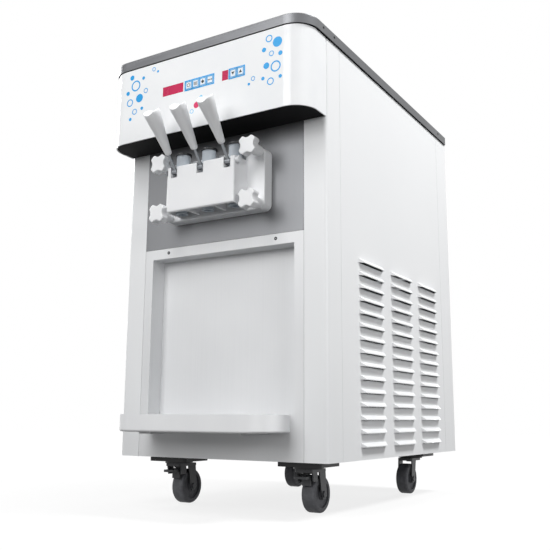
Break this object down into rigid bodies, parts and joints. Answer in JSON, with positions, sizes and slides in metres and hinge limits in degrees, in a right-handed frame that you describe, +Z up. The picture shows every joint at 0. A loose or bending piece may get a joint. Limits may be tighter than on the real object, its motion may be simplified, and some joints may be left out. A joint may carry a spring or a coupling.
{
  "type": "soft serve ice cream maker",
  "caption": "Free-standing soft serve ice cream machine on braked casters: white louvred cabinet, steel top, curved control header, lever-operated dispensing door and pull-out drip tray.",
  "frame": {"origin": "on the floor, under the middle of the bounding box", "axes": "+Z up, -Y out of the serving front, +X to the right of a person facing the front"},
  "size_m": [0.538, 0.9318, 1.027],
  "materials": {
    "white_paint": "white baked enamel",
    "brushed_steel": "brushed stainless sheet",
    "lower_panel": "light brushed stainless sheet",
    "gloss_white": "glossy white moulding",
    "black_plastic": "matt black",
    "display": "pink-red display window",
    "key_blue": "blue framed key",
    "lid_grey": "light grey moulding",
    "seal": "black seal",
    "valve_blue": "grey-blue moulding",
    "dark_steel": "dark steel",
    "motor_paint": "dark grey enamel",
    "compressor_paint": "black enamel",
    "aluminium": "finned aluminium",
    "box_grey": "grey moulding",
    "caster_metal": "dark plated steel",
    "wheel": "dark grey tread"
  },
  "bodies": {
    "cabinet": {"chassis_frame": "motor_paint", "left_side_panel": "white_paint", "right_side_panel": "white_paint", "rear_panel": "white_paint", "corner_posts": "white_paint", "upper_front_panel": "brushed_steel", "lower_front_panel": "lower_panel", "header_fascia": "gloss_white", "header_soffit": "black_plastic", "top_panel": "brushed_steel", "display_windows": "display", "hoppers": "brushed_steel", "mix_feed_tubes": "brushed_steel", "freezing_barrels": "brushed_steel", "dispensing_door": "gloss_white", "door_seals": "seal", "lever_pivot_pin": "brushed_steel", "nozzle_caps": "valve_blue", "gear_motors": "motor_paint", "compressor": "compressor_paint", "condenser": "aluminium", "control_box": "box_grey", "cord_gland": "black_plastic", "caster_plates": "caster_metal"},
    "left_handle": {"left_lever": "dark_steel", "left_grip": "gloss_white"},
    "left_draw_valve": {"left_valve": "valve_blue"},
    "middle_handle": {"middle_lever": "dark_steel", "middle_grip": "gloss_white"},
    "middle_draw_valve": {"middle_valve": "valve_blue"},
    "right_handle": {"right_lever": "dark_steel", "right_grip": "gloss_white"},
    "right_draw_valve": {"right_valve": "valve_blue"},
    "upper_left_star_knob": {"upper_left_knob": "gloss_white"},
    "upper_right_star_knob": {"upper_right_knob": "gloss_white"},
    "lower_left_star_knob": {"lower_left_knob": "gloss_white"},
    "lower_right_star_knob": {"lower_right_knob": "gloss_white"},
    "first_key_cap": {"first_key": "key_blue"},
    "second_key_cap": {"second_key": "key_blue"},
    "third_key_cap": {"third_key": "key_blue"},
    "fourth_key_cap": {"fourth_key": "key_blue"},
    "down_key_cap": {"down_key": "key_blue"},
    "up_key_cap": {"up_key": "key_blue"},
    "left_lid": {"left_hopper_lid": "lid_grey"},
    "right_lid": {"right_hopper_lid": "lid_grey"},
    "tray": {"drip_tray": "gloss_white"},
    "grid": {"drip_grid": "brushed_steel"},
    "front_left_swivel": {"front_left_fork": "caster_metal"},
    "front_left_roller": {"front_left_wheel": "wheel"},
    "front_left_pedal": {"front_left_brake": "black_plastic"},
    "front_right_swivel": {"front_right_fork": "caster_metal"},
    "front_right_roller": {"front_right_wheel": "wheel"},
    "front_right_pedal": {"front_right_brake": "black_plastic"},
    "rear_left_swivel": {"rear_left_fork": "caster_metal"},
    "rear_left_roller": {"rear_left_wheel": "wheel"},
    "rear_right_swivel": {"rear_right_fork": "caster_metal"},
    "rear_right_roller": {"rear_right_wheel": "wheel"},
    "left_beater_shaft": {"left_beater": "brushed_steel"},
    "right_beater_shaft": {"right_beater": "brushed_steel"},
    "fan": {"condenser_fan": "black_plastic"}
  },
  "joints": [
    {"name": "left_handle_pull", "type": "hinge", "parent": "cabinet", "child": "left_handle", "pos_m": [-0.0695, -0.3676, 0.712], "axis": [1, 0, 0], "range_deg": [0, 56]},
    {"name": "left_valve_lift", "type": "slide", "parent": "cabinet", "child": "left_draw_valve", "axis": [0, 0, 1], "range_m": [0, 0.0142]},
    {"name": "middle_handle_pull", "type": "hinge", "parent": "cabinet", "child": "middle_handle", "pos_m": [0, -0.3676, 0.712], "axis": [1, 0, 0], "range_deg": [0, 56]},
    {"name": "middle_valve_lift", "type": "slide", "parent": "cabinet", "child": "middle_draw_valve", "axis": [0, 0, 1], "range_m": [0, 0.0142]},
    {"name": "right_handle_pull", "type": "hinge", "parent": "cabinet", "child": "right_handle", "pos_m": [0.0695, -0.3676, 0.712], "axis": [1, 0, 0], "range_deg": [0, 56]},
    {"name": "right_valve_lift", "type": "slide", "parent": "cabinet", "child": "right_draw_valve", "axis": [0, 0, 1], "range_m": [0, 0.0142]},
    {"name": "upper_left_knob_turn", "type": "hinge", "parent": "cabinet", "child": "upper_left_star_knob", "pos_m": [-0.1168, -0.3246, 0.7378], "axis": [0, -1, 0], "continuous": true},
    {"name": "upper_right_knob_turn", "type": "hinge", "parent": "cabinet", "child": "upper_right_star_knob", "pos_m": [0.1168, -0.3246, 0.7378], "axis": [0, -1, 0], "continuous": true},
    {"name": "lower_left_knob_turn", "type": "hinge", "parent": "cabinet", "child": "lower_left_star_knob", "pos_m": [-0.1168, -0.3246, 0.6252], "axis": [0, -1, 0], "continuous": true},
    {"name": "lower_right_knob_turn", "type": "hinge", "parent": "cabinet", "child": "lower_right_star_knob", "pos_m": [0.1168, -0.3246, 0.6252], "axis": [0, -1, 0], "continuous": true},
    {"name": "first_key_press", "type": "slide", "parent": "cabinet", "child": "first_key_cap", "axis": [0, 1, 0], "range_m": [0, 0.0012], "stiffness_N_per_m": 400},
    {"name": "second_key_press", "type": "slide", "parent": "cabinet", "child": "second_key_cap", "axis": [0, 1, 0], "range_m": [0, 0.0012], "stiffness_N_per_m": 400},
    {"name": "third_key_press", "type": "slide", "parent": "cabinet", "child": "third_key_cap", "axis": [0, 1, 0], "range_m": [0, 0.0012], "stiffness_N_per_m": 400},
    {"name": "fourth_key_press", "type": "slide", "parent": "cabinet", "child": "fourth_key_cap", "axis": [0, 1, 0], "range_m": [0, 0.0012], "stiffness_N_per_m": 400},
    {"name": "down_key_press", "type": "slide", "parent": "cabinet", "child": "down_key_cap", "axis": [0, 1, 0], "range_m": [0, 0.0012], "stiffness_N_per_m": 400},
    {"name": "up_key_press", "type": "slide", "parent": "cabinet", "child": "up_key_cap", "axis": [0, 1, 0], "range_m": [0, 0.0012], "stiffness_N_per_m": 400},
    {"name": "left_lid_lift", "type": "slide", "parent": "cabinet", "child": "left_lid", "axis": [0, 0, 1], "range_m": [0, 0.25]},
    {"name": "right_lid_lift", "type": "slide", "parent": "cabinet", "child": "right_lid", "axis": [0, 0, 1], "range_m": [0, 0.25]},
    {"name": "tray_pull", "type": "slide", "parent": "cabinet", "child": "tray", "axis": [0, -1, 0], "range_m": [0, 0.12]},
    {"name": "grid_lift", "type": "slide", "parent": "tray", "child": "grid", "axis": [0, 0, 1], "range_m": [0, 0.08]},
    {"name": "front_left_swivel_turn", "type": "hinge", "parent": "cabinet", "child": "front_left_swivel", "pos_m": [-0.167, -0.2041, 0.106], "axis": [0, 0, 1], "continuous": true},
    {"name": "front_left_wheel_roll", "type": "hinge", "parent": "front_left_swivel", "child": "front_left_roller", "pos_m": [-0.167, -0.1731, 0.0375], "axis": [1, 0, 0], "continuous": true},
    {"name": "front_left_brake_press", "type": "hinge", "parent": "front_left_swivel", "child": "front_left_pedal", "pos_m": [-0.167, -0.2101, 0.073], "axis": [1, 0, 0], "range_deg": [0, 15]},
    {"name": "front_right_swivel_turn", "type": "hinge", "parent": "cabinet", "child": "front_right_swivel", "pos_m": [0.167, -0.2041, 0.106], "axis": [0, 0, 1], "continuous": true},
    {"name": "front_right_wheel_roll", "type": "hinge", "parent": "front_right_swivel", "child": "front_right_roller", "pos_m": [0.167, -0.1731, 0.0375], "axis": [1, 0, 0], "continuous": true},
    {"name": "front_right_brake_press", "type": "hinge", "parent": "front_right_swivel", "child": "front_right_pedal", "pos_m": [0.167, -0.2101, 0.073], "axis": [1, 0, 0], "range_deg": [0, 15]},
    {"name": "rear_left_swivel_turn", "type": "hinge", "parent": "cabinet", "child": "rear_left_swivel", "pos_m": [-0.167, 0.3539, 0.106], "axis": [0, 0, 1], "continuous": true},
    {"name": "rear_left_wheel_roll", "type": "hinge", "parent": "rear_left_swivel", "child": "rear_left_roller", "pos_m": [-0.167, 0.3229, 0.0375], "axis": [1, 0, 0], "continuous": true},
    {"name": "rear_right_swivel_turn", "type": "hinge", "parent": "cabinet", "child": "rear_right_swivel", "pos_m": [0.167, 0.3539, 0.106], "axis": [0, 0, 1], "continuous": true},
    {"name": "rear_right_wheel_roll", "type": "hinge", "parent": "rear_right_swivel", "child": "rear_right_roller", "pos_m": [0.167, 0.3229, 0.0375], "axis": [1, 0, 0], "continuous": true},
    {"name": "left_beater_spin", "type": "hinge", "parent": "cabinet", "child": "left_beater_shaft", "pos_m": [-0.062, -0.0961, 0.6815], "axis": [0, 1, 0], "continuous": true},
    {"name": "right_beater_spin", "type": "hinge", "parent": "cabinet", "child": "right_beater_shaft", "pos_m": [0.062, -0.0961, 0.6815], "axis": [0, 1, 0], "continuous": true},
    {"name": "fan_spin", "type": "hinge", "parent": "cabinet", "child": "fan", "pos_m": [0.122, 0.0689, 0.254], "axis": [1, 0, 0], "continuous": true}
  ],
  "couplings": [
    {"joint": "left_valve_lift", "follows": "left_handle_pull", "m_per_rad": 0.01441},
    {"joint": "middle_valve_lift", "follows": "middle_handle_pull", "m_per_rad": 0.01441},
    {"joint": "right_valve_lift", "follows": "right_handle_pull", "m_per_rad": 0.01441}
  ]
}
